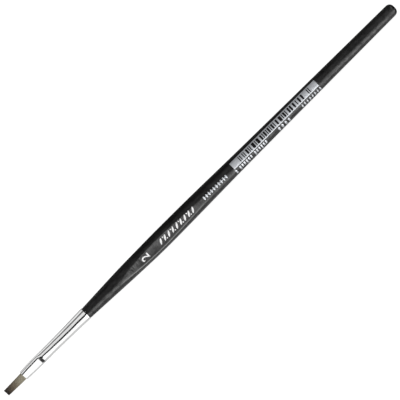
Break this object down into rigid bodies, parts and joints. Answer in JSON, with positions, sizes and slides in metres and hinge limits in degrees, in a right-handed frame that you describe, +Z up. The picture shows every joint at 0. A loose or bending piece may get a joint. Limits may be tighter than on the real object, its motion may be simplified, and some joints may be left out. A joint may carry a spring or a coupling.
{
  "type": "flat paint brush",
  "caption": "Short-handled flat paint brush: soft dark filaments in a pressed nickel-plated ferrule, on a black lacquered wooden handle with grip flats on its belly.",
  "frame": {"origin": "on the surface that the brush lies on, under the middle of its bounding box", "axes": "+X along the brush from the hair to the tail, +Z up from the grip flat that it lies on; the brush's own axis rises 0.55 degrees towards the tail"},
  "size_m": [0.175, 0.0066, 0.0061],
  "materials": {
    "black_lacquer": "satin",
    "nickel_plate": "polished",
    "filament": "matte",
    "waxed_thread": "matte",
    "set_resin": "gloss",
    "set_glue": "satin"
  },
  "bodies": {
    "root": {"handle": "black_lacquer", "ferrule": "nickel_plate", "hair_tuft": "filament", "root_binding": "waxed_thread", "root_resin": "set_resin", "tenon_glue": "set_glue"}
  },
  "joints": []
}
